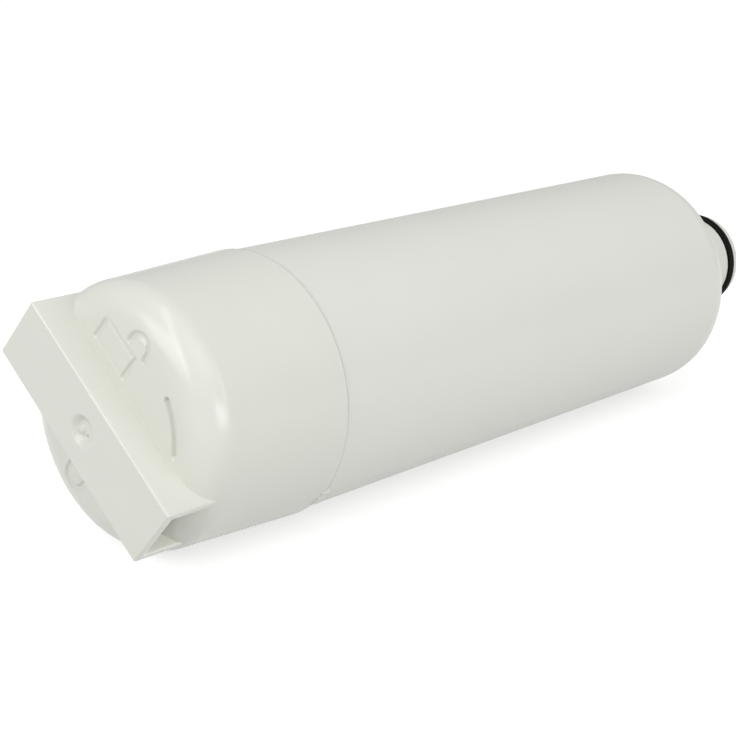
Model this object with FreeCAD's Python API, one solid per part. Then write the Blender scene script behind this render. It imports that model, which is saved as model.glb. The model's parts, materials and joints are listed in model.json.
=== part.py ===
"""Quarter-turn water filter cartridge for a fridge, lying on its side.

The axis runs along Y. The neck end is at y = 0, and the twist bar faces -Y.
Sizes are in millimetres.
"""
import FreeCAD, Part
import math
import os

# Lengths along the axis, from the neck end to the face of the twist bar
neck_length = 29.9
body_length = 165.1
seam_gap = 0.4
cap_length = 51.4

# Housing tube and domed shoulder
body_diameter = 64.8
body_draft_deg = 0.35
body_wall = 2.8
shoulder_radius = 10.2
shoulder_wall = 3.0

# Neck, seal groove and lip
neck_diameter = 26.8
neck_bore_diameter = 18.8
neck_root_radius = 2.0
lip_length = 2.1
groove_width = 3.4
neck_seal_section = 2.62
neck_seal_proud = 0.96
seal_seat_clearance = 0.05

# Locking lugs on the neck
lug_height = 3.6
lug_width = 11.0
lug_length = 5.0
lug_offset = 4.0
lug_edge = 0.8

# End cap
rim_step = 0.6
cap_draft_deg = 2.1
cap_wall = 2.8
cap_front_depth = 8.7
cap_crown = 0.6
cap_shoulder_radius = 8.4
edge_radius = 0.4

# Lapped weld joint between the cap and the tube
weld_overlap = 9.0
weld_skirt = 1.6
weld_clearance = 0.05

# Hollow twist bar across the cap
bar_corner_inset = 0.1
bar_width = 18.2
bar_plate = 2.2
bar_wall = 2.0
bar_edge = 0.5
bar_turn_deg = 42.0
gate_diameter = 7.0
gate_depth = 0.9
gate_nub_diameter = 2.4
gate_nub_height = 0.5

# Padlock signs and turn mark sunk into the cap's front
sign_line = 1.0
sign_depth = 0.5
sign_gap = 2.5
lock_width = 12.4
lock_height = 6.2
shackle_radius = 3.0
shackle_rise = 3.2
open_lock_offset = -10.5
open_lock_shift = 5.1
open_lock_lift = 2.2
closed_lock_offset = -0.2
turn_mark_radius = 21.0
turn_mark_width = 1.6
turn_mark_depth = 1.3
turn_mark_from_deg = 33.2
turn_mark_sweep_deg = 33.6

# Locating ribs inside the cap
cap_rib_height = 10.8
cap_rib_inset = 7.0
cap_rib_thickness = 1.8

# Filter block and its sleeve
flow_gap = 2.45
block_bore_diameter = 12.0
wrap_thickness = 0.8
sleeve_clearance = 0.05
bond_thickness = 0.8

# End plates of the filter block
plate_thickness = 2.5
plate_skirt_length = 7.0
plate_skirt_wall = 1.2
plate_skirt_clearance = 0.1
plug_length = 6.0
plug_clearance = 0.15
standoff_height = 5.0
standoff_inset = 1.2
standoff_inner_gap = 2.6
standoff_thickness = 1.5
standoff_count = 6

# Outlet stem in the neck
stem_diameter = 9.2
stem_bore_diameter = 4.2
stem_recess = 1.5
stem_nose = 1.4
stem_groove_width = 2.3
stem_seal_section = 1.78
stem_seal_proud = 0.3
guide_length = 12.0
guide_thickness = 1.4
guide_clearance = 0.1
guide_count = 4

# Parting line of the turned pieces, halfway between the side and the floor
parting_line_deg = 45.0

# Stations along the axis
y_neck = 0.0
y_shoulder = y_neck - neck_length
y_step = y_shoulder - body_length
y_rim = y_step - seam_gap
y_bar = y_rim - cap_length
y_weld = y_step - weld_overlap
y_inside = y_shoulder - shoulder_wall
y_front = y_bar + cap_front_depth
y_plate = y_inside - standoff_height
y_block = y_plate - plate_thickness - bond_thickness
y_closed = y_front + cap_wall + cap_rib_height
y_block_end = y_closed + plate_thickness + bond_thickness

# Radii that follow from the sizes above
neck_r = neck_diameter / 2
neck_bore_r = neck_bore_diameter / 2
body_r = body_diameter / 2
body_slope = math.tan(math.radians(body_draft_deg))
cap_slope = math.tan(math.radians(cap_draft_deg))
rim_r = body_r + rim_step
skirt_bore_r = rim_r - weld_skirt
spigot_r = skirt_bore_r - weld_clearance
spigot_bore_r = body_r - body_wall + body_slope * weld_overlap
shoulder_r = body_r - body_slope * body_length
inside_r = body_r - body_wall - body_slope * (y_inside - y_step)
inside_fillet = shoulder_radius - body_wall
front_r = rim_r - cap_slope * (y_rim - y_front)
plate_r = inside_r - flow_gap
plate_bore_r = plate_r - plate_skirt_wall
wrap_outer_r = plate_bore_r - plate_skirt_clearance
wrap_inner_r = wrap_outer_r - wrap_thickness
block_r = wrap_inner_r - sleeve_clearance
block_bore_r = block_bore_diameter / 2
plug_r = block_bore_r - plug_clearance
stem_r = stem_diameter / 2
stem_bore_r = stem_bore_diameter / 2
neck_seal_r = neck_r + neck_seal_proud
stem_seal_r = stem_r + stem_seal_proud
bar_half_length = math.sqrt((front_r - bar_corner_inset) ** 2 - (bar_width / 2) ** 2)

origin = FreeCAD.Vector(0, 0, 0)
along = FreeCAD.Vector(0, 1, 0)


def spun(corners):
    """Turn a closed outline about the axis.

    Each corner is (radius, y, fillet); a fillet of 0 leaves the corner sharp.
    """
    points = [FreeCAD.Vector(radius, y, 0) for radius, y, fillet in corners]
    count = len(points)
    entries = []
    leaves = []
    middles = []
    for index, (radius, y, fillet) in enumerate(corners):
        here = points[index]
        back = (points[index - 1] - here).normalize()
        ahead = (points[(index + 1) % count] - here).normalize()
        half = back.getAngle(ahead) / 2
        reach = fillet / math.tan(half)
        bisector = (back + ahead).normalize() if fillet else FreeCAD.Vector(0, 0, 0)
        entries.append(here + back * reach)
        leaves.append(here + ahead * reach)
        middles.append(here + bisector * (fillet / math.sin(half) - fillet))
    edges = []
    for index, (radius, y, fillet) in enumerate(corners):
        if fillet:
            edges.append(Part.Arc(entries[index], middles[index], leaves[index]).toShape())
        following = entries[(index + 1) % count]
        if leaves[index].distanceToPoint(following) > 1e-6:
            edges.append(Part.makeLine(leaves[index], following))
    face = Part.Face(Part.Wire(edges))
    return face.revolve(origin, along, 360).rotate(origin, along, parting_line_deg)


def ring(inner, outer, y_from, y_to):
    """A plain tube between two stations."""
    return spun([(inner, y_from, 0), (outer, y_from, 0), (outer, y_to, 0), (inner, y_to, 0)])


def seal(outer_r, section, y):
    """A rubber ring of round section, centred at station y."""
    return Part.makeTorus(outer_r - section / 2, section / 2, FreeCAD.Vector(0, y, 0), along)


def fin(inner, outer, thickness, y_from, y_to, angle):
    """A flat radial fin between two radii and two stations."""
    corner = FreeCAD.Vector(inner, y_from, -thickness / 2)
    blade = Part.makeBox(outer - inner, y_to - y_from, thickness, corner)
    return blade.rotate(origin, along, angle)


def fins(count, inner, outer, thickness, y_from, y_to, first=0.0):
    """Evenly spaced radial fins."""
    return [fin(inner, outer, thickness, y_from, y_to, first + 360.0 * index / count)
            for index in range(count)]


def make_housing():
    """Tapered tube, shoulder and neck in one moulding."""
    groove_r = neck_seal_r - neck_seal_section - seal_seat_clearance
    groove_end = y_neck - lip_length
    groove_start = groove_end - groove_width
    return spun([
        (spigot_bore_r, y_weld, 0),
        (spigot_r, y_weld, edge_radius),
        (spigot_r, y_step, 0),
        (body_r, y_step, edge_radius),
        (shoulder_r, y_shoulder, shoulder_radius),
        (neck_r, y_shoulder, neck_root_radius),
        (neck_r, groove_start, 0),
        (groove_r, groove_start, 0),
        (groove_r, groove_end, 0),
        (neck_r, groove_end, 0),
        (neck_r, y_neck, edge_radius),
        (neck_bore_r, y_neck, edge_radius),
        (neck_bore_r, y_inside, 0),
        (inside_r, y_inside, inside_fillet),
    ])


def make_lock_lugs():
    """Two lugs on the root of the neck, in line with the twist bar."""
    lug_start = y_shoulder + lug_offset
    lug_r = neck_r + lug_height
    band = spun([
        (neck_r, lug_start, 0),
        (lug_r, lug_start, lug_edge),
        (lug_r, lug_start + lug_length, lug_edge),
        (neck_r, lug_start + lug_length, 0),
    ])
    corner = FreeCAD.Vector(-lug_r, lug_start, -lug_width / 2)
    slab = Part.makeBox(2 * lug_r, lug_length, lug_width, corner)
    return band.common(slab).rotate(origin, along, bar_turn_deg)


def cap_outside():
    """The cap as a full body, without its hollow."""
    return spun([
        (0, y_front - cap_crown, 0),
        (front_r, y_front, cap_shoulder_radius),
        (rim_r, y_rim, edge_radius),
        (0, y_rim, 0),
    ])


def make_bar():
    """Hollow twist bar: a front plate and two side walls, open at both ends."""
    half = bar_width / 2
    inner = half - bar_wall
    y_plate_back = y_bar + bar_plate
    y_back = y_front + cap_shoulder_radius
    turn = bar_edge * (1 - math.sqrt(0.5))

    def at(z, y):
        return FreeCAD.Vector(-bar_half_length, y, z)

    edges = [
        Part.makeLine(at(-half, y_back), at(-half, y_bar + bar_edge)),
        Part.Arc(at(-half, y_bar + bar_edge), at(-half + turn, y_bar + turn),
                 at(-half + bar_edge, y_bar)).toShape(),
        Part.makeLine(at(-half + bar_edge, y_bar), at(half - bar_edge, y_bar)),
        Part.Arc(at(half - bar_edge, y_bar), at(half - turn, y_bar + turn),
                 at(half, y_bar + bar_edge)).toShape(),
        Part.makeLine(at(half, y_bar + bar_edge), at(half, y_back)),
        Part.makeLine(at(half, y_back), at(inner, y_back)),
        Part.makeLine(at(inner, y_back), at(inner, y_plate_back)),
        Part.makeLine(at(inner, y_plate_back), at(-inner, y_plate_back)),
        Part.makeLine(at(-inner, y_plate_back), at(-inner, y_back)),
        Part.makeLine(at(-inner, y_back), at(-half, y_back)),
    ]
    channel = Part.Face(Part.Wire(edges)).extrude(FreeCAD.Vector(2 * bar_half_length, 0, 0))
    gate_top = FreeCAD.Vector(0, y_bar, 0)
    gate_floor = FreeCAD.Vector(0, y_bar + gate_depth, 0)
    well = Part.makeCylinder(gate_diameter / 2, gate_depth, gate_top, along)
    nub = Part.makeCylinder(gate_nub_diameter / 2, gate_nub_height, gate_floor, -along)
    return channel.cut(well).fuse(nub).rotate(origin, along, bar_turn_deg)


def pillar(x_from, x_to, z_from, z_to):
    """A block through the cap's front, given along and across the bar."""
    reach = cap_front_depth + cap_shoulder_radius
    return Part.makeBox(x_to - x_from, reach, z_to - z_from, FreeCAD.Vector(x_from, y_bar, z_from))


def padlock(middle, shift, lift):
    """Lines of a padlock beside the bar, as upright walls.

    The shackle is moved along by shift, and its free leg ends lift above the body.
    """
    half = sign_line / 2
    left = middle - lock_width / 2
    right = middle + lock_width / 2
    base = bar_width / 2 + sign_gap
    top = base + lock_height
    body = pillar(left - half, right + half, base - half, top + half)
    body = body.cut(pillar(left + half, right - half, base + half, top - half))
    arch_x = middle + shift
    arch_z = top + shackle_rise
    outer = shackle_radius + half
    inner = shackle_radius - half
    arch_at = FreeCAD.Vector(arch_x, 0, arch_z)
    arch = ring(inner, outer, y_bar, y_front + cap_shoulder_radius).translate(arch_at)
    arch = arch.common(pillar(arch_x - outer, arch_x + outer, arch_z, arch_z + outer))
    fixed_leg = pillar(arch_x - outer, arch_x - inner, top, arch_z)
    free_leg = pillar(arch_x + inner, arch_x + outer, top + lift, arch_z)
    return body.fuse([arch, fixed_leg, free_leg])


def turn_mark():
    """Part of a ring about the axis, as an upright wall."""
    inner = turn_mark_radius - turn_mark_width / 2
    section = Part.makePlane(turn_mark_width, cap_front_depth + cap_shoulder_radius,
                             FreeCAD.Vector(inner, y_bar, 0), FreeCAD.Vector(0, 0, 1))
    start = -turn_mark_from_deg - turn_mark_sweep_deg
    return section.revolve(origin, along, turn_mark_sweep_deg).rotate(origin, along, start)


def make_end_cap():
    """Conical cap with the twist bar and sunk signs on its front, and ribs inside."""
    outside = cap_outside()
    open_lock = padlock(open_lock_offset, open_lock_shift, open_lock_lift)
    closed_lock = padlock(closed_lock_offset, 0, 0).rotate(origin, along, 180)
    locks = open_lock.fuse(closed_lock).rotate(origin, along, bar_turn_deg)
    lock_floor = outside.translated(along * sign_depth)
    mark_floor = outside.translated(along * turn_mark_depth)
    mark = turn_mark().rotate(origin, along, bar_turn_deg)
    signs = [locks.cut(lock_floor), mark.cut(mark_floor)]
    y_ceiling = y_front + cap_wall
    ceiling_r = spigot_bore_r - cap_slope * (y_weld - y_ceiling)
    hollow = spun([
        (0, y_ceiling - cap_crown, 0),
        (ceiling_r, y_ceiling, cap_shoulder_radius - cap_wall),
        (spigot_bore_r, y_weld, 0),
        (skirt_bore_r, y_weld, 0),
        (skirt_bore_r, y_rim, 0),
        (0, y_rim, 0),
    ])
    rib_reach = plate_r - cap_rib_inset
    across = [
        fin(-rib_reach, rib_reach, cap_rib_thickness, y_front, y_closed, bar_turn_deg + turn)
        for turn in (0.0, 90.0)
    ]
    cap = outside.fuse(make_bar()).cut(hollow)
    return cap.fuse(across).removeSplitter().cut(signs)


def make_outlet_plate():
    """End plate with standoffs, skirt, plug, and the outlet stem with its seal groove."""
    y_under = y_plate - plate_thickness
    y_skirt = y_under - plate_skirt_length
    y_plug = y_under - plug_length
    y_stem = y_neck - stem_recess
    stem_groove_r = stem_seal_r - stem_seal_section - seal_seat_clearance
    y_groove_end = y_stem - stem_nose
    y_groove = y_groove_end - stem_groove_width
    body = spun([
        (stem_bore_r, y_plug, 0),
        (plug_r, y_plug, edge_radius),
        (plug_r, y_under, 0),
        (plate_bore_r, y_under, 0),
        (plate_bore_r, y_skirt, 0),
        (plate_r, y_skirt, 0),
        (plate_r, y_plate, edge_radius),
        (stem_r, y_plate, edge_radius),
        (stem_r, y_groove, 0),
        (stem_groove_r, y_groove, 0),
        (stem_groove_r, y_groove_end, 0),
        (stem_r, y_groove_end, 0),
        (stem_r, y_stem, edge_radius),
        (stem_bore_r, y_stem, 0),
    ])
    standoff_from = neck_bore_r + standoff_inner_gap
    standoff_to = inside_r - inside_fillet - standoff_inset
    standoffs = fins(standoff_count, standoff_from, standoff_to, standoff_thickness,
                     y_plate - plate_thickness / 2, y_inside)
    guide_r = neck_bore_r - guide_clearance
    in_stem = (stem_r + stem_bore_r) / 2
    guides = fins(guide_count, in_stem, guide_r, guide_thickness, y_inside, y_inside + guide_length)
    return body.fuse(standoffs + guides).removeSplitter()


def make_closed_plate():
    """End plate with a skirt and a plug, and no way through."""
    y_inner = y_closed + plate_thickness
    return spun([
        (0, y_closed, 0),
        (plate_r, y_closed, edge_radius),
        (plate_r, y_inner + plate_skirt_length, 0),
        (plate_bore_r, y_inner + plate_skirt_length, 0),
        (plate_bore_r, y_inner, 0),
        (plug_r, y_inner, 0),
        (plug_r, y_inner + plug_length, edge_radius),
        (0, y_inner + plug_length, 0),
    ])


def make_stem_seal():
    """Small ring on the outlet stem."""
    y = y_neck - stem_recess - stem_nose - stem_groove_width / 2
    return seal(stem_seal_r, stem_seal_section, y)


def make_neck_seal():
    """Large ring on the neck."""
    y = y_neck - lip_length - groove_width / 2
    return seal(neck_seal_r, neck_seal_section, y)


y_outlet_under = y_plate - plate_thickness
y_closed_inner = y_closed + plate_thickness
pieces = {
    "housing": make_housing(),
    "lock_lugs": make_lock_lugs(),
    "end_cap": make_end_cap(),
    "neck_seal": make_neck_seal(),
    "outlet_plate": make_outlet_plate(),
    "stem_seal": make_stem_seal(),
    "outlet_bond": ring(block_bore_r, wrap_outer_r, y_block, y_outlet_under),
    "carbon_block": ring(block_bore_r, block_r, y_block_end, y_block),
    "prefilter_wrap": ring(wrap_inner_r, wrap_outer_r, y_block_end, y_block),
    "closed_bond": ring(block_bore_r, wrap_outer_r, y_closed_inner, y_block_end),
    "closed_plate": make_closed_plate(),
}

os.makedirs("parts", exist_ok=True)
for node, shape in pieces.items():
    shape.exportStep("parts/" + node + ".step")
    print(node, "valid" if shape.isValid() else "INVALID", "solids", len(shape.Solids),
          "volume cc", round(shape.Volume / 1000, 2))
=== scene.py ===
"""Looks of a quarter-turn fridge water filter cartridge, dressed over its CAD frame.

The cartridge lies along Y: the neck ends at the origin and the twist bar faces -Y.
Sizes are in millimetres where nothing else is said, and the meshes are in metres.
"""

from __future__ import annotations

import json
import logging
import math
from dataclasses import dataclass, field
from enum import Enum

import bpy
import numpy as np
from mathutils import Matrix, Vector

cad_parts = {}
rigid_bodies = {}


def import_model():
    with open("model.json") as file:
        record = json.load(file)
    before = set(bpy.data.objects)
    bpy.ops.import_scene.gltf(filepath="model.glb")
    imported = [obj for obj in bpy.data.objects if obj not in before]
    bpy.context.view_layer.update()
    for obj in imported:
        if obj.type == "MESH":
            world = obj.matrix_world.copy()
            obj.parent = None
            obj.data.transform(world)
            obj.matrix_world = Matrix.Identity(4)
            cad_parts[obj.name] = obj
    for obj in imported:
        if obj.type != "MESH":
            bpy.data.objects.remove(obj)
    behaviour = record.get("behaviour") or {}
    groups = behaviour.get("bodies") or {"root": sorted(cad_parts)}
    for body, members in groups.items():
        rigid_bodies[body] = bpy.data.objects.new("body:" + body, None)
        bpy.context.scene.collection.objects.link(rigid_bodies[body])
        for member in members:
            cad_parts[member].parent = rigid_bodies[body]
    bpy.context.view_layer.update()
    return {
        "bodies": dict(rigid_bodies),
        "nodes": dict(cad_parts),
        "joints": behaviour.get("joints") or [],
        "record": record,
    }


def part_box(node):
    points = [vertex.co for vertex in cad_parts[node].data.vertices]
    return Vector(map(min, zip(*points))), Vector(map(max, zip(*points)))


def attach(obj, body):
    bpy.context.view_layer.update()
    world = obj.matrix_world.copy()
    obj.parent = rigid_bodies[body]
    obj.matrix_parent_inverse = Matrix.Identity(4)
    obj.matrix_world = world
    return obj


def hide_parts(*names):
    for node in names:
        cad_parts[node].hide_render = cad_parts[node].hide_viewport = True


LOG = logging.getLogger("cartridge")
ROOT = "root"

# One millimetre in metres
MM = 0.001

# A length that counts as none
TINY = 1e-9

# How far off a surface a point may lie and still be on it
ON_SURFACE = 1e-6

# How close to an edge the points stand that hold its shading
SHADING_GUARD = 0.12

# Corners of the largest face that is shaded smooth
MOST_SMOOTH_CORNERS = 4

Array = np.ndarray
Shell = tuple[Array, list[list[int]]]


class Grain(Enum):
    """Fine relief that a finish can carry."""

    SATIN = "satin"
    RUBBER = "rubber"
    GRANULES = "granules"
    FIBRES = "fibres"


# Octaves of finer noise in the tone and in the grains that use it, and how far the fibres wander
MOTTLE_DETAIL = 3.0
GRAIN_DETAIL = {Grain.SATIN: 2.0, Grain.RUBBER: 5.0, Grain.FIBRES: 4.0}
FIBRE_DISTORTION = 14.0


@dataclass(frozen=True)
class Finish:
    """A material: its colour, gloss, tone variation and fine relief, with sizes in millimetres."""

    name: str
    colour: tuple[float, float, float]
    roughness: float
    grain: Grain = Grain.SATIN
    grain_size: float = 0.9
    grain_depth: float = 0.012
    mottle: float = 0.02
    mottle_size: float = 30.0
    gloss_spread: float = 0.06
    reflection: float = 0.5

    def material(self) -> bpy.types.Material:
        """Make the node material.

        Returns:
            A material whose tone and gloss wander with soft noise, and whose relief is a bump.
        """
        made = bpy.data.materials.new(self.name)
        made.use_nodes = True
        tree = made.node_tree
        shader = tree.nodes["Principled BSDF"]
        place = tree.nodes.new("ShaderNodeTexCoord").outputs["Object"]
        wander = self._noise(tree, place, self.mottle_size, MOTTLE_DETAIL)

        tone = tree.nodes.new("ShaderNodeMix")
        tone.data_type = "RGBA"
        tone.inputs["A"].default_value = self._toned(1.0 - self.mottle)
        tone.inputs["B"].default_value = self._toned(1.0 + self.mottle)
        tree.links.new(wander, tone.inputs["Factor"])
        tree.links.new(tone.outputs["Result"], shader.inputs["Base Color"])

        gloss = tree.nodes.new("ShaderNodeMapRange")
        gloss.inputs["To Min"].default_value = self.roughness - self.gloss_spread
        gloss.inputs["To Max"].default_value = self.roughness + self.gloss_spread
        tree.links.new(wander, gloss.inputs["Value"])
        tree.links.new(gloss.outputs["Result"], shader.inputs["Roughness"])
        shader.inputs["Specular IOR Level"].default_value = self.reflection

        bump = tree.nodes.new("ShaderNodeBump")
        bump.inputs["Distance"].default_value = self.grain_depth * MM
        tree.links.new(self._relief(tree, place), bump.inputs["Height"])
        tree.links.new(bump.outputs["Normal"], shader.inputs["Normal"])
        return made

    def _toned(self, share: float) -> tuple[float, float, float, float]:
        """The colour times a share, with full alpha."""
        red, green, blue = (min(1.0, share * part) for part in self.colour)
        return (red, green, blue, 1.0)

    @staticmethod
    def _noise(tree: bpy.types.NodeTree, place: bpy.types.NodeSocket, size: float,
               detail: float) -> bpy.types.NodeSocket:
        """Soft noise with features about size millimetres across.

        Args:
            tree: the node tree to add to.
            place: the coordinates to read.
            size: feature size in millimetres.
            detail: octaves of finer noise.

        Returns:
            The noise value.
        """
        noise = tree.nodes.new("ShaderNodeTexNoise")
        noise.inputs["Scale"].default_value = 1.0 / (size * MM)
        noise.inputs["Detail"].default_value = detail
        tree.links.new(place, noise.inputs["Vector"])
        return noise.outputs["Fac"]

    def _relief(self, tree: bpy.types.NodeTree,
                place: bpy.types.NodeSocket) -> bpy.types.NodeSocket:
        """Height of the fine relief.

        Args:
            tree: the node tree to add to.
            place: the coordinates to read.

        Returns:
            The height, from cells for granules, wandering waves for fibres, and noise otherwise.
        """
        scale = 1.0 / (self.grain_size * MM)
        if self.grain is Grain.GRANULES:
            cells = tree.nodes.new("ShaderNodeTexVoronoi")
            cells.inputs["Scale"].default_value = scale
            tree.links.new(place, cells.inputs["Vector"])
            return cells.outputs["Distance"]
        if self.grain is Grain.FIBRES:
            waves = tree.nodes.new("ShaderNodeTexWave")
            waves.inputs["Scale"].default_value = scale
            waves.inputs["Distortion"].default_value = FIBRE_DISTORTION
            waves.inputs["Detail"].default_value = GRAIN_DETAIL[self.grain]
            tree.links.new(place, waves.inputs["Vector"])
            return waves.outputs["Fac"]
        return self._noise(tree, place, self.grain_size, GRAIN_DETAIL[self.grain])


WHITE_MOULDING = Finish("white_moulding", (0.735, 0.745, 0.688), roughness=0.31, gloss_spread=0.03)
CAP_MOULDING = Finish("cap_moulding", (0.722, 0.730, 0.667), roughness=0.23, gloss_spread=0.02)
# Lighter, matter copy of the cap's moulding for the bar's hollow: its lighter colour is painted light
# that brightens the shaded hollow
HOLLOW_PAINTED_LIGHT = Finish("hollow_painted_light", (0.872, 0.880, 0.800), roughness=0.42, gloss_spread=0.04)
INNER_MOULDING = Finish("inner_moulding", (0.78, 0.78, 0.75), roughness=0.42)
BLACK_RUBBER = Finish(
    "black_rubber", (0.004, 0.004, 0.0035), roughness=0.5, grain=Grain.RUBBER, grain_size=0.5,
    grain_depth=0.02, mottle=0.2, reflection=0.12,
)
PRESSED_CARBON = Finish(
    "pressed_carbon", (0.022, 0.022, 0.023), roughness=0.85, grain=Grain.GRANULES, grain_size=0.7,
    grain_depth=0.2, mottle=0.3, mottle_size=4.0,
)
NON_WOVEN = Finish(
    "non_woven", (0.80, 0.80, 0.77), roughness=0.9, grain=Grain.FIBRES, grain_size=1.6,
    grain_depth=0.12, mottle=0.05, mottle_size=8.0,
)
SET_ADHESIVE = Finish(
    "set_adhesive", (0.72, 0.63, 0.42), roughness=0.3, grain_size=3.0, grain_depth=0.08,
    mottle=0.08, mottle_size=6.0,
)


@dataclass(frozen=True)
class Corner:
    """A corner of an outline turned about the axis, in millimetres."""

    radius: float
    y: float
    fillet: float = 0.0
    run: float = 5.0


def between(start: Array, stop: Array, run: float, guard: float = SHADING_GUARD) -> Array:
    """Points inside a straight run: even steps, and one close to each end to hold its shading.

    Args:
        start: where the run begins.
        stop: where it ends.
        run: the longest step.
        guard: distance of the close points from the ends.

    Returns:
        The points, without the two ends.
    """
    length = float(np.linalg.norm(stop - start))
    places = np.linspace(0.0, length, max(1, math.ceil(length / run)) + 1)[1:-1]
    if length > 4 * guard:
        inner = places[(places > 2 * guard) & (places < length - 2 * guard)]
        places = np.concatenate([[guard], inner, [length - guard]])
    return start + (stop - start) * (places / max(length, TINY))[:, None]


def outline(corners: list[Corner], arc_step_deg: float = 6.0) -> Array:
    """Walk along straight runs joined by arcs tangent to them.

    An arc's centre lies on its corner's bisector, fillet / sin(half the corner's angle) away, and
    the arc's first point swings round it through 180 degrees less the corner's angle.

    Args:
        corners: the corners in order; run is the longest step on the run that follows a corner.
        arc_step_deg: the largest turn between two points of an arc.

    Returns:
        Points (radius, y), the first and last corners included.
    """
    ends = np.array([(corner.radius, corner.y) for corner in corners])
    spans: list[Array] = []
    for index, corner in enumerate(corners):
        here = ends[index]
        if 0 < index < len(corners) - 1 and corner.fillet:
            back = (ends[index - 1] - here) / np.linalg.norm(ends[index - 1] - here)
            ahead = (ends[index + 1] - here) / np.linalg.norm(ends[index + 1] - here)
            half = math.acos(float(back @ ahead)) / 2
            middle = (back + ahead) / np.linalg.norm(back + ahead)
            centre = here + middle * corner.fillet / math.sin(half)
            first = here + back * corner.fillet / math.tan(half) - centre
            swing = float(first[0] * ahead[1] - first[1] * ahead[0])
            turn = math.copysign(math.pi - 2 * half, swing)
            steps = max(2, math.ceil(abs(math.degrees(turn)) / arc_step_deg))
            angles = np.linspace(0.0, turn, steps + 1)
            swung = np.stack([first[0] * np.cos(angles) - first[1] * np.sin(angles),
                              first[0] * np.sin(angles) + first[1] * np.cos(angles)], axis=1)
            spans.append(centre + swung)
        else:
            spans.append(here[None, :])
    walked: list[Array] = []
    for index, span in enumerate(spans):
        walked.append(span)
        if index + 1 < len(spans):
            walked.append(between(span[-1], spans[index + 1][0], corners[index].run))
    return np.concatenate(walked)


def spun(profile: Array, columns: int) -> Shell:
    """Turn an open profile about the axis; an end on the axis closes to one point.

    A point (radius, y) of the profile at angle t goes to (radius cos t, y, radius sin t).

    Args:
        profile: points (radius, y) in millimetres.
        columns: steps round the axis.

    Returns:
        The points, in millimetres, and the faces.
    """
    angles = np.linspace(0.0, 2 * math.pi, columns, endpoint=False)
    on_axis = profile[:, 0] < TINY
    counts = np.where(on_axis, 1, columns)
    starts = np.concatenate([[0], np.cumsum(counts)[:-1]])
    steps = np.where(on_axis[:, None], 0, np.arange(columns)[None, :])
    index = starts[:, None] + steps
    rings = np.stack([profile[:, :1] * np.cos(angles), np.repeat(profile[:, 1:], columns, axis=1),
                      profile[:, :1] * np.sin(angles)], axis=2)
    points = np.concatenate([ring[:count] for ring, count in zip(rings, counts)])
    low, high = index[:-1], index[1:]
    quads = np.stack([low, high, np.roll(high, -1, axis=1), np.roll(low, -1, axis=1)], axis=2)
    faces: list[list[int]] = []
    for row, (first_pole, last_pole) in zip(quads, zip(on_axis[:-1], on_axis[1:])):
        keep = [0, 1, 2, 3]
        if first_pole:
            keep = [0, 1, 2]
        elif last_pole:
            keep = [0, 1, 3]
        faces += row[:, keep].tolist()
    return points, faces


def looped(sections: Array) -> Shell:
    """Join closed sections one after another and close both ends.

    Args:
        sections: points of shape (stations, points in a section, 3), in millimetres.

    Returns:
        The points and the faces: quads between neighbours and one many-sided face at each end.
    """
    stations, count, _ = sections.shape
    index = np.arange(stations * count).reshape(stations, count)
    low, high = index[:-1], index[1:]
    quads = np.stack([low, np.roll(low, -1, axis=1), np.roll(high, -1, axis=1), high], axis=2)
    faces = quads.reshape(-1, 4).tolist()
    faces += [index[0, ::-1].tolist(), index[-1].tolist()]
    return sections.reshape(-1, 3), faces


def outward(shell: Shell) -> Shell:
    """Turn a closed shell's faces so that they point outwards.

    The sign of the volume, summed over fans of triangles, shows which way they point.

    Args:
        shell: points and faces.

    Returns:
        The same shell, with every face reversed if the volume came out negative.
    """
    points, faces = shell
    fans = np.array([(face[0], face[k], face[k + 1]) for face in faces for k in range(1, len(face) - 1)])
    a, b, c = points[fans[:, 0]], points[fans[:, 1]], points[fans[:, 2]]
    volume = float(np.einsum("ij,ij->i", a, np.cross(b, c)).sum())
    if volume < 0:
        faces = [face[::-1] for face in faces]
    return points, faces


def joined(shells: list[Shell]) -> Shell:
    """Put several shells into one: each one's faces count on from the points before it.

    Args:
        shells: the shells in order.

    Returns:
        One array of points and one list of faces.
    """
    points: list[Array] = []
    faces: list[list[int]] = []
    offset = 0
    for shell_points, shell_faces in shells:
        points.append(shell_points)
        faces += [[corner + offset for corner in face] for face in shell_faces]
        offset += len(shell_points)
    return np.concatenate(points), faces


def turned(points: Array, degrees: float) -> Array:
    """Turn points about +Y: X goes towards -Z, and Z towards X.

    Args:
        points: rows (x, y, z).
        degrees: the turn t.

    Returns:
        Rows (x cos t + z sin t, y, z cos t - x sin t).
    """
    angle = math.radians(degrees)
    cosine, sine = math.cos(angle), math.sin(angle)
    x, y, z = points.T
    return np.stack([x * cosine + z * sine, y, z * cosine - x * sine], axis=1)


def piece(name: str, shell: Shell, finish: bpy.types.Material) -> bpy.types.Object:
    """Put a shell into the scene as a mesh that rides on the root body.

    Faces of three or four corners are shaded smooth, and those with more stay flat.

    Args:
        name: the piece's name.
        shell: points in millimetres, and faces.
        finish: its material.

    Returns:
        The new object, at the origin.
    """
    points, faces = shell
    mesh = bpy.data.meshes.new(name)
    mesh.from_pydata((points * MM).tolist(), [], faces)
    mesh.validate()
    smooth = np.array([len(face) <= MOST_SMOOTH_CORNERS for face in faces])
    mesh.polygons.foreach_set("use_smooth", smooth)
    mesh.materials.append(finish)
    made = bpy.data.objects.new(name, mesh)
    bpy.context.scene.collection.objects.link(made)
    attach(made, ROOT)
    LOG.info("%s: %d faces", name, len(faces))
    return made


def wrapped_deg(angle: Array) -> Array:
    """Angles in radians as degrees between -180 and 180."""
    return np.degrees(np.angle(np.exp(1j * angle)))


def ramp(low: float, high: float, value: Array) -> Array:
    """Smooth step: 0 below low, 1 above high, and 3t^2 - 2t^3 between."""
    share = np.clip((value - low) / (high - low), 0.0, 1.0)
    return share * share * (3.0 - 2.0 * share)


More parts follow.
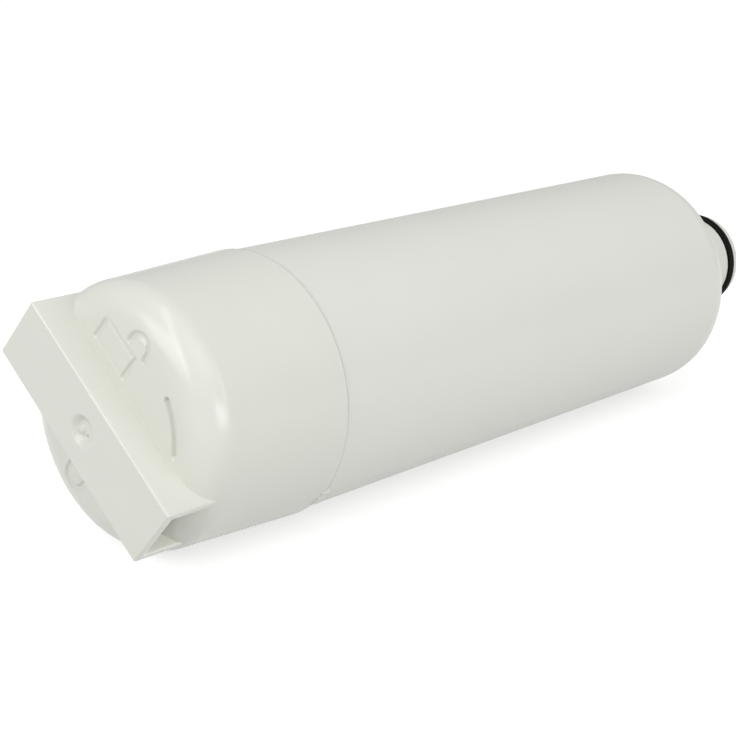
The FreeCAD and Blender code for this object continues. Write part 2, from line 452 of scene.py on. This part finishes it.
@dataclass(frozen=True)
class Groove:
    """Cross-section of a sunk line: half its width, its depth, and how soft its sides are."""

    half_width: float
    depth: float
    soft: float

    def sunk(self, distance: Array) -> Array:
        """Depth at a distance from the line's middle: full inside, with a smooth step at its side."""
        low, high = self.half_width - self.soft, self.half_width + self.soft
        return self.depth * (1.0 - ramp(low, high, distance))


class Shackle(Enum):
    """State that a padlock sign shows."""

    OPEN = "open"
    CLOSED = "closed"


@dataclass(frozen=True)
class Padlock:
    """Padlock sign in outline, in the cap's plane; side is +1 or -1 across the bar."""

    middle: float
    base: float
    side: float
    state: Shackle
    width: float = 12.0
    height: float = 6.2
    shackle_radius: float = 3.0
    shackle_rise: float = 3.2
    open_shift: float = 4.9
    open_lift: float = 2.1
    open_short: float = 1.0
    line: Groove = Groove(half_width=0.6, depth=0.62, soft=0.22)
    side_line: Groove = Groove(half_width=0.6, depth=0.5, soft=0.22)
    top_line: Groove = Groove(half_width=0.5, depth=0.16, soft=0.35)
    base_line: Groove = Groove(half_width=0.5, depth=0.05, soft=0.4)

    def sunk(self, x: Array, z: Array) -> Array:
        """Depth of the sign's lines.

        The body is four straight lines, of which the two across the bar are cut deepest and the
        one beside the bar is hardly cut; the shackle is half a ring on two straight legs. On the
        open sign the shackle stands clear of the body, and the body's first side is shorter.

        Args:
            x: places along the bar.
            z: places across the bar.

        Returns:
            Depth at each place.
        """
        across = z * self.side - self.base
        past_x = np.abs(x - self.middle) - self.width / 2
        is_open = self.state is Shackle.OPEN
        short = np.where((x < self.middle) & is_open, self.open_short, 0.0)
        half_side = (self.height - short) / 2
        past_z = np.abs(across - half_side) - half_side
        sides = np.hypot(past_x, np.maximum(past_z, 0))
        past_end = np.maximum(past_x, 0)
        top = self.top_line.sunk(np.hypot(across - self.height, past_end))
        base = self.base_line.sunk(np.hypot(across, past_end))
        reach = x - self.middle - (self.open_shift if is_open else 0.0)
        above = across - self.height - self.shackle_rise
        arch = np.abs(np.hypot(reach, above) - self.shackle_radius)
        foot = (self.open_lift if is_open else 0.0) - self.shackle_rise
        leg = np.hypot(np.abs(reach) - self.shackle_radius, np.minimum(above - foot, 0))
        shackle = np.where(above >= 0, arch, leg)
        return np.max([self.side_line.sunk(sides), top, base, self.line.sunk(shackle)], axis=0)


@dataclass(frozen=True)
class TurnMark:
    """Sunk arc that shows the way to turn, centred on the axis."""

    radius: float = 21.0
    from_deg: float = 33.2
    to_deg: float = 66.8
    line: Groove = Groove(half_width=0.85, depth=1.1, soft=0.2)

    def sunk(self, x: Array, z: Array) -> Array:
        """Depth of the arc: the distance to a ring between two angles, with round ends.

        Args:
            x: places along the bar.
            z: places across the bar.

        Returns:
            Depth at each place.
        """
        low, high = math.radians(self.from_deg), math.radians(self.to_deg)
        nearest = np.clip(np.arctan2(z, x), low, high)
        distance = np.hypot(x - self.radius * np.cos(nearest), z - self.radius * np.sin(nearest))
        return self.line.sunk(distance)


@dataclass
class EndCap:
    """Conical cap with sunk signs on its front and locating ribs inside."""

    bar_face: float
    rim_y: float
    turn_deg: float = 42.0
    rim_radius: float = 32.985
    draft_deg: float = 2.1
    front_depth: float = 8.7
    crown: float = 0.6
    shoulder: float = 8.4
    wall: float = 2.8
    skirt: float = 1.6
    spigot_bore: float = 29.655
    lap: float = 8.6
    edge: float = 0.4
    columns: int = 576
    outside_step_deg: float = 3.0
    inside_step_deg: float = 12.0
    fine_from: float = 9.3
    fine_step: float = 0.22
    middle_step: float = 1.6
    rim_step: float = 1.0
    bore_step: float = 10.0
    ceiling_step: float = 6.0
    rib_reach: float = 19.1
    rib_thickness: float = 1.8
    rib_height: float = 10.8
    ribs_deg: tuple[float, ...] = (0.0, 90.0)
    signs: tuple[Padlock | TurnMark, ...] = (
        Padlock(middle=-10.3, base=11.6, side=1.0, state=Shackle.OPEN),
        Padlock(middle=0.2, base=11.6, side=-1.0, state=Shackle.CLOSED),
        TurnMark(),
    )
    slope: float = field(init=False)
    front: float = field(init=False)
    front_radius: float = field(init=False)
    outside: Array = field(init=False)

    def __post_init__(self) -> None:
        """Work out the stations and radii that follow from the sizes."""
        self.slope = math.tan(math.radians(self.draft_deg))
        self.front = self.bar_face + self.front_depth
        self.front_radius = self.rim_radius - self.slope * (self.rim_y - self.front)
        self.outside = outline(self._outside_corners(), self.outside_step_deg)

    def _outside_corners(self) -> list[Corner]:
        """Corners of the outside: a crowned front, a rounded shoulder, a drafted cone and the rim.

        Returns:
            The corners, from the middle of the front to the inside of the rim.
        """
        tip = self.front - self.crown
        fine_y = tip + self.crown * self.fine_from / self.front_radius
        return [
            Corner(0.0, tip, run=self.middle_step),
            Corner(self.fine_from, fine_y, run=self.fine_step),
            Corner(self.front_radius, self.front, self.shoulder),
            Corner(self.rim_radius, self.rim_y, self.edge, run=self.rim_step),
            Corner(self.rim_radius - self.skirt, self.rim_y),
        ]

    def surface(self, radius: Array) -> Array:
        """Station of the outside at a radius, read from the outline."""
        rising = self.outside[: int(np.argmax(self.outside[:, 0])) + 1]
        return np.interp(radius, rising[:, 0], rising[:, 1])

    def shell(self) -> Shell:
        """The cap's wall as one closed surface turned about the axis, with its signs sunk.

        Each point of the outside moves in by the depth of the deepest sign there.

        Returns:
            The closed shell, before it is turned to the bar's angle.
        """
        ceiling = self.front + self.wall
        weld = self.rim_y - self.lap
        skirt_bore = self.rim_radius - self.skirt
        ceiling_radius = self.spigot_bore - self.slope * (weld - ceiling)
        inside = outline([
            Corner(skirt_bore, self.rim_y),
            Corner(skirt_bore, weld),
            Corner(self.spigot_bore, weld, run=self.bore_step),
            Corner(ceiling_radius, ceiling, self.shoulder - self.wall, run=self.ceiling_step),
            Corner(0.0, ceiling - self.crown),
        ], self.inside_step_deg)
        profile = np.concatenate([self.outside, inside[1:]])
        points, faces = spun(profile, self.columns)
        fronts = points[:, 1] < ceiling
        near = np.hypot(points[:, 0], points[:, 2])
        fronts &= np.abs(points[:, 1] - self.surface(near)) < ON_SURFACE
        x, z = points[fronts, 0], points[fronts, 2]
        points[fronts, 1] += np.max([sign.sunk(x, z) for sign in self.signs], axis=0)
        return outward((points, faces))

    def rib(self, degrees: float) -> Shell:
        """One locating rib: a box across the axis, from inside the front's wall to the rib's height.

        Args:
            degrees: its turn about the axis.

        Returns:
            The closed box.
        """
        thin = self.rib_thickness / 2
        low, high = self.front + self.wall / 2, self.front + self.wall + self.rib_height
        x = np.array([[-self.rib_reach], [self.rib_reach]])
        y = np.array([low, low, high, high])
        z = np.array([-thin, thin, thin, -thin])
        points, faces = looped(np.stack(np.broadcast_arrays(x, y, z), axis=2))
        return outward((turned(points, degrees), faces))

    def build(self, finish: bpy.types.Material) -> bpy.types.Object:
        """Make the cap as one piece in place of its plain solid.

        Args:
            finish: the moulding's material.

        Returns:
            The piece.
        """
        ribs = [self.rib(degrees) for degrees in self.ribs_deg]
        points, faces = joined([self.shell(), *ribs])
        made = piece("end_cap_moulding", (turned(points, self.turn_deg), faces), finish)
        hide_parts("end_cap")
        return made


@dataclass
class TwistBar:
    """Hollow bar across the cap: a plate with a gate well, on two walls with rounded feet."""

    cap: EndCap
    width: float = 18.2
    corner_inset: float = 0.1
    plate: float = 2.2
    wall: float = 2.0
    edge: float = 0.5
    foot: float = 0.07
    sink: float = 0.8
    gate_radius: float = 4.2
    gate_floor: float = 1.9
    gate_depth: float = 1.3
    gate_margin: float = 0.2
    gate_step: float = 0.16
    nub: Groove = Groove(half_width=1.0, depth=0.5, soft=0.5)
    nub_place: tuple[float, float] = (-0.9, -0.9)
    pit: Groove = Groove(half_width=0.5, depth=0.5, soft=0.35)
    pit_place: tuple[float, float] = (1.4, -1.1)
    step: float = 1.0
    wall_steps: int = 6
    arc_steps: int = 5
    half: float = field(init=False)
    half_length: float = field(init=False)
    along: Array = field(init=False)
    draw: Array = field(init=False)
    sine: Array = field(init=False)
    versine: Array = field(init=False)

    def __post_init__(self) -> None:
        """Work out the length, the stations along it and the quarter turns of its edges."""
        corner_radius = self.cap.front_radius - self.corner_inset
        quarter = np.linspace(0.0, math.pi / 2, self.arc_steps + 1)
        self.sine, self.versine = np.sin(quarter), 1 - np.cos(quarter)
        self.half = self.width / 2
        self.half_length = math.sqrt(corner_radius ** 2 - self.half ** 2)
        self.along = self._places(self.half_length)[:, None]
        short = np.clip(self.edge - (self.half_length - np.abs(self.along)), 0.0, self.edge)
        self.draw = self.edge - np.sqrt(np.maximum(self.edge ** 2 - short ** 2, 0.0))

    def _places(self, half: float) -> Array:
        """Places from -half to half: close at the gate, even beside it, and a sine at the ends.

        Args:
            half: half the length that the places span.

        Returns:
            The places in rising order.
        """
        reach = self.gate_radius + self.gate_margin
        flat = half - self.edge
        close = np.linspace(-reach, reach, round(2 * reach / self.gate_step) + 1)
        coarse = np.arange(reach + self.step, flat - self.step / 2, self.step)
        end = flat + self.edge * self.sine
        guard = np.array([flat - SHADING_GUARD])
        return np.concatenate([-end[::-1], -guard, -coarse[::-1], close, coarse, guard, end])

    def _rows(self, values: Array) -> Array:
        """The same values at every station along the bar."""
        return np.broadcast_to(values, (len(self.along), len(values)))

    def gate(self, x: Array, z: Array) -> Array:
        """Depth of the round gate well: a smooth step down to its floor, with a nub and a pit there.

        Args:
            x: places along the bar.
            z: places across the bar.

        Returns:
            Depth below the bar's face at each place.
        """
        well = self.gate_depth * (1.0 - ramp(self.gate_floor, self.gate_radius, np.hypot(x, z)))
        nub = self.nub.sunk(np.hypot(x - self.nub_place[0], z - self.nub_place[1]))
        pit = self.pit.sunk(np.hypot(x - self.pit_place[0], z - self.pit_place[1]))
        return well - nub + pit

    def _outer(self) -> tuple[Array, Array]:
        """One outer wall's section, from under the cap's skin to the face's edge.

        The foot is a quarter turn that rises from the cap's surface, the wall is straight, and
        another quarter turn rounds the face's edge.

        Returns:
            Places across the bar and along the axis, one row for each station.
        """
        foot_z = self._rows(self.half + self.foot * (1 - self.sine))
        foot_y = self.cap.surface(np.hypot(self.along, foot_z)) - self.foot * self.versine
        top = self.cap.bar_face + self.edge
        share = np.linspace(0.0, 1.0, self.wall_steps + 1)[1:]
        wall_y = foot_y[:, -1:] + (top - foot_y[:, -1:]) * share
        wall_z = np.full(wall_y.shape, self.half)
        round_y = self._rows(top - self.edge * self.sine[1:])
        round_z = self._rows(self.half - self.edge * self.versine[1:])
        z = np.concatenate([foot_z[:, :1], foot_z, wall_z, round_z], axis=1) - self.draw
        drop = np.zeros(z.shape)
        drop[:, -self.arc_steps:] = self.draw
        y = np.concatenate([foot_y[:, :1] + self.sink, foot_y, wall_y, round_y], axis=1) + drop
        return z, y

    def _hollow(self) -> tuple[Array, Array]:
        """One inner wall's section, from under the cap's skin to the underside of the plate.

        The wall is straight, and a quarter turn joins it to the plate.

        Returns:
            Places across the bar and along the axis, one row for each station.
        """
        inner = self.half - self.wall
        corner = self.cap.bar_face + self.plate + self.edge - self.draw
        base = self.cap.surface(np.hypot(self.along, inner)) + self.sink
        share = np.linspace(1.0, 0.0, self.wall_steps + 1)
        wall_y = corner + (base - corner) * share
        round_y = corner - self.edge * self.sine[1:]
        wall_z = np.full(wall_y.shape, inner)
        round_z = self._rows(inner - self.edge * self.versine[1:])
        z = np.concatenate([wall_z, round_z], axis=1) + self.draw
        y = np.concatenate([wall_y, round_y], axis=1)
        return z, y

    def build(self, finish: bpy.types.Material, painted_light_finish: bpy.types.Material) -> bpy.types.Object:
        """Make the bar in place of its plain solid.

        The section goes up one wall from a rounded foot, across the plate, down the other wall
        and back round the hollow. Its feet follow the cap's surface, and near each end it draws
        in by e - sqrt(e^2 - (e - d)^2) at distance d, which rounds the end's edges. The hollow's
        points come last in a section, and so do its faces in each stretch between two sections.

        Args:
            finish: the moulding's material.
            painted_light_finish: the material of the hollow's faces, a lighter and matter copy of the
                moulding; its lighter colour is painted light in the shaded hollow.

        Returns:
            The piece.
        """
        outer_z, outer_y = self._outer()
        hollow_z, hollow_y = self._hollow()
        across = self._places(self.half - self.edge)
        across = across[np.abs(across) < self.half - 2 * self.edge]
        face_z = self._rows(across)
        face_y = self.cap.bar_face + self.draw + self.gate(self.along, across)
        z = np.concatenate([-outer_z, face_z, outer_z[:, ::-1], hollow_z, -hollow_z[:, ::-1]], axis=1)
        y = np.concatenate([outer_y, face_y, outer_y[:, ::-1], hollow_y, hollow_y[:, ::-1]], axis=1)
        points, faces = outward(looped(np.stack(np.broadcast_arrays(self.along, y, z), axis=2)))
        made = piece("twist_bar_moulding", (turned(points, self.cap.turn_deg), faces), finish)
        # The hollow's faces take the lighter copy of the moulding, which is painted light in the bar's
        # shaded hollow
        made.data.materials.append(painted_light_finish)
        painted_light_slot = len(made.data.materials) - 1
        slots = np.zeros(len(faces), dtype=np.int32)
        walls = slots[:z[1:].size].reshape(z[1:].shape)
        walls[:, -2 * hollow_z.shape[1]:-1] = painted_light_slot
        made.data.polygons.foreach_set("material_index", slots)
        made.modifiers.new("even_shading", "WEIGHTED_NORMAL")
        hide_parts("end_cap")
        return made


@dataclass
class WeldFlash:
    """Uneven bead of weld that fills the seam between the tube and the cap.

    Each wave is its count round the seam, its phase and its size.
    """

    rim_y: float
    gap: float = 0.4
    radius: float = 31.9
    section: float = 0.80
    reach: float = 0.5
    swell: float = 0.10
    columns: int = 720
    around: int = 12
    waves: tuple[tuple[int, float, float], ...] = (
        (7, 0.3, 0.4),
        (19, 1.7, 0.35),
        (43, 0.9, 0.25),
    )
    lumps_deg: tuple[float, ...] = (-48.5, -45.0, -41.0)
    lump_width: float = 0.9
    lump_swell: float = 0.65
    lump_reach: float = 2.1
    fill: float = 0.15
    unfilled_deg: tuple[float, float] = (-20.0, 44.0)
    fill_fade_deg: float = 14.0

    def build(self, finish: bpy.types.Material) -> bpy.types.Object:
        """Make the bead.

        Its section is an ellipse whose height is a base size plus a few sine waves round the
        seam, and bell-shaped lumps make it higher and longer where flash stands out. Past two
        angles round the seam a fuller bead hides more of the step.

        Args:
            finish: the moulding's material.

        Returns:
            The piece.
        """
        angle = np.linspace(0.0, 2 * math.pi, self.columns, endpoint=False)
        ripple = sum(size * np.sin(count * angle + phase) for count, phase, size in self.waves)
        off = wrapped_deg(angle[:, None] - np.radians(self.lumps_deg))
        lump = np.exp(-((off / self.lump_width) ** 2)).sum(axis=1)
        thick = self.section + self.swell * ripple + self.lump_swell * lump + self._filled(angle)
        reach = self.reach + self.lump_reach * lump
        turn = np.linspace(0.0, 2 * math.pi, self.around, endpoint=False)
        radius = self.radius + thick[:, None] * np.cos(turn)
        y = self.rim_y + self.gap / 2 + reach[:, None] * np.sin(turn)
        x, z = radius * np.cos(angle)[:, None], radius * np.sin(angle)[:, None]
        points = np.stack([x, y, z], axis=2).reshape(-1, 3)
        index = np.arange(self.columns * self.around).reshape(self.columns, self.around)
        ahead = np.roll(index, -1, axis=0)
        corners = [index, np.roll(index, -1, axis=1), np.roll(ahead, -1, axis=1), ahead]
        faces = np.stack(corners, axis=2).reshape(-1, 4).tolist()
        made = piece("weld_flash", outward((points, faces)), finish)
        return made

    def _filled(self, angle: Array) -> Array:
        """Extra height of the bead: none between two angles round the seam, and full past them.

        Args:
            angle: angles round the seam, in radians.

        Returns:
            The extra height at each angle, with a smooth step on either side.
        """
        place = wrapped_deg(angle)
        low, high = self.unfilled_deg
        below = 1.0 - ramp(low - self.fill_fade_deg, low, place)
        above = ramp(high, high + self.fill_fade_deg, place)
        return self.fill * np.maximum(below, above)


@dataclass(frozen=True)
class SoftBox:
    """Rectangular studio lamp, placed by its direction in the camera's axes, with sizes in metres."""

    name: str
    direction: tuple[float, float, float]
    distance: float
    width: float
    height: float
    watts: float


@dataclass
class Studio:
    """Pale floor, soft light, and the camera at the photograph's viewing angle.

    Lengths are in millimetres, apart from the floor's half side in metres, and the camera's place
    is taken from the middle of the bar's face.
    """

    bar_face: float
    floor_drop: float = 33.0
    floor_half_m: float = 6.0
    floor_tone: float = 0.62
    floor_glow: float = 0.66
    azimuth: float = 42.8
    elevation: float = 15.57
    lens: float = 91.93
    sensor: float = 36.0
    clip_start: float = 10.0
    camera_off: tuple[float, float, float] = (315.9, -248.0, 125.0)
    sky: float = 0.545
    boxes: tuple[SoftBox, ...] = (
        SoftBox("key_box", (0.42, 0.62, 0.66), distance=1.3, width=0.80, height=0.80, watts=1.6),
        SoftBox("left_strip", (-0.26, 0.70, 0.66), distance=1.1, width=0.14, height=1.60, watts=2.5),
        SoftBox("right_strip", (0.87, 0.10, 0.36), distance=1.1, width=0.10, height=1.20, watts=1.2),
        SoftBox("front_fill", (-0.63, 0.37, 0.68), distance=1.2, width=0.90, height=0.70, watts=4.9),
        SoftBox("end_fill", (0.74, -0.10, 0.66), distance=1.2, width=0.60, height=0.34, watts=3.2),
    )

    def axes(self) -> Matrix:
        """The camera's directions, from its turn about the upright and its rise above the floor.

        Returns:
            A matrix with the right, up and back directions as its columns.
        """
        turn, rise = math.radians(self.azimuth), math.radians(self.elevation)
        level = math.cos(rise)
        back = Vector((math.sin(turn) * level, -math.cos(turn) * level, math.sin(rise)))
        right = Vector((math.cos(turn), math.sin(turn), 0.0))
        up = back.cross(right)
        return Matrix((right, up, back)).transposed()

    def build(self) -> None:
        """Set the floor, the world, the lamps and the camera."""
        self._floor()
        self._world()
        for box in self.boxes:
            self._lamp(box)
        self._camera()
        bpy.context.scene.view_settings.view_transform = "Standard"

    def _floor(self) -> None:
        """Lay a large pale floor under the cartridge."""
        side, level = self.floor_half_m, -self.floor_drop * MM
        mesh = bpy.data.meshes.new("floor")
        corners = [(-side, -side, level), (side, -side, level), (side, side, level), (-side, side, level)]
        mesh.from_pydata(corners, [], [(0, 1, 2, 3)])
        mesh.materials.append(self._paper())
        floor = bpy.data.objects.new("floor", mesh)
        bpy.context.scene.collection.objects.link(floor)

    def _paper(self) -> bpy.types.Material:
        """Make the floor's paper.

        Returns:
            A pale diffuse material that glows a little towards the camera and mirrors, so that
            it shows white there and still takes the cartridge's shadow.
        """
        paper = bpy.data.materials.new("pale_floor")
        paper.use_nodes = True
        tree = paper.node_tree
        tree.nodes.clear()
        sheet = tree.nodes.new("ShaderNodeBsdfDiffuse")
        tone = self.floor_tone
        sheet.inputs["Color"].default_value = (tone, tone, tone, 1.0)
        glow = tree.nodes.new("ShaderNodeEmission")
        glow.inputs["Strength"].default_value = self.floor_glow
        both = tree.nodes.new("ShaderNodeAddShader")
        tree.links.new(sheet.outputs["BSDF"], both.inputs[0])
        tree.links.new(glow.outputs["Emission"], both.inputs[1])
        path = tree.nodes.new("ShaderNodeLightPath")
        seen = path.outputs["Is Camera Ray"]
        for ray in ("Is Glossy Ray", "Is Transmission Ray"):
            either = tree.nodes.new("ShaderNodeMath")
            either.operation = "MAXIMUM"
            tree.links.new(seen, either.inputs[0])
            tree.links.new(path.outputs[ray], either.inputs[1])
            seen = either.outputs["Value"]
        choice = tree.nodes.new("ShaderNodeMixShader")
        tree.links.new(seen, choice.inputs["Fac"])
        tree.links.new(sheet.outputs["BSDF"], choice.inputs[1])
        tree.links.new(both.outputs["Shader"], choice.inputs[2])
        out = tree.nodes.new("ShaderNodeOutputMaterial")
        tree.links.new(choice.outputs["Shader"], out.inputs["Surface"])
        return paper

    def _world(self) -> None:
        """Light everything evenly from all round, and show white past the floor's edge."""
        world = bpy.data.worlds.new("tent")
        world.use_nodes = True
        tree = world.node_tree
        tent = tree.nodes["Background"]
        tent.inputs["Color"].default_value = (1.0, 1.0, 1.0, 1.0)
        path = tree.nodes.new("ShaderNodeLightPath")
        level = tree.nodes.new("ShaderNodeMath")
        level.operation = "MAXIMUM"
        level.inputs[1].default_value = self.sky
        tree.links.new(path.outputs["Is Camera Ray"], level.inputs[0])
        tree.links.new(level.outputs["Value"], tent.inputs["Strength"])
        bpy.context.scene.world = world

    def _lamp(self, box: SoftBox) -> None:
        """Hang one soft box, facing the cap.

        Args:
            box: the lamp to hang.
        """
        aim = Vector((0.0, self.bar_face * MM, 0.0))
        axes = self.axes()
        toward = (axes @ Vector(box.direction)).normalized()
        lamp = bpy.data.lights.new(box.name, "AREA")
        lamp.shape = "RECTANGLE"
        lamp.size = box.width
        lamp.size_y = box.height
        lamp.energy = box.watts
        hung = bpy.data.objects.new(box.name, lamp)
        across = axes.col[1].cross(toward).normalized()
        rise = toward.cross(across)
        frame = Matrix((across, rise, toward)).transposed().to_4x4()
        frame.translation = aim + toward * box.distance
        hung.matrix_world = frame
        bpy.context.scene.collection.objects.link(hung)

    def _camera(self) -> None:
        """Stand the camera where the photograph was taken from."""
        data = bpy.data.cameras.new("camera")
        data.sensor_width = self.sensor
        data.lens = self.lens
        data.clip_start = self.clip_start * MM
        camera = bpy.data.objects.new("camera", data)
        frame = self.axes().to_4x4()
        frame.translation = (Vector((0.0, self.bar_face, 0.0)) + Vector(self.camera_off)) * MM
        camera.matrix_world = frame
        bpy.context.scene.collection.objects.link(camera)
        bpy.context.scene.camera = camera


FINISHES: dict[str, Finish] = {
    "housing": WHITE_MOULDING,
    "lock_lugs": WHITE_MOULDING,
    "end_cap": CAP_MOULDING,
    "neck_seal": BLACK_RUBBER,
    "stem_seal": BLACK_RUBBER,
    "outlet_plate": INNER_MOULDING,
    "closed_plate": INNER_MOULDING,
    "carbon_block": PRESSED_CARBON,
    "prefilter_wrap": NON_WOVEN,
    "outlet_bond": SET_ADHESIVE,
    "closed_bond": SET_ADHESIVE,
}


def dress(nodes: dict[str, bpy.types.Object], made: dict[str, bpy.types.Material]) -> None:
    """Give every CAD solid its finish.

    Args:
        nodes: the CAD solids by name.
        made: the materials by finish name.
    """
    for name, node in nodes.items():
        finish = FINISHES[name]
        node.data.materials.clear()
        node.data.materials.append(made[finish.name])
        LOG.info("%s: %s", name, finish.name)


def main() -> None:
    """Load the frame, dress it, build the detailed pieces and set the studio."""
    logging.basicConfig(level=logging.INFO, format="%(name)s %(message)s")
    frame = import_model()
    made = {finish.name: finish.material() for finish in dict.fromkeys(FINISHES.values())}
    dress(frame["nodes"], made)
    cap_finish = made[CAP_MOULDING.name]
    bar_face, rim = (corner.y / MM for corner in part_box("end_cap"))
    cap = EndCap(bar_face, rim)
    cap.build(cap_finish)
    # The bar's hollow gets a lighter copy of the moulding as painted light
    TwistBar(cap).build(cap_finish, HOLLOW_PAINTED_LIGHT.material())
    WeldFlash(rim).build(made[WHITE_MOULDING.name])
    Studio(bar_face).build()


if __name__ == "__main__":
    main()
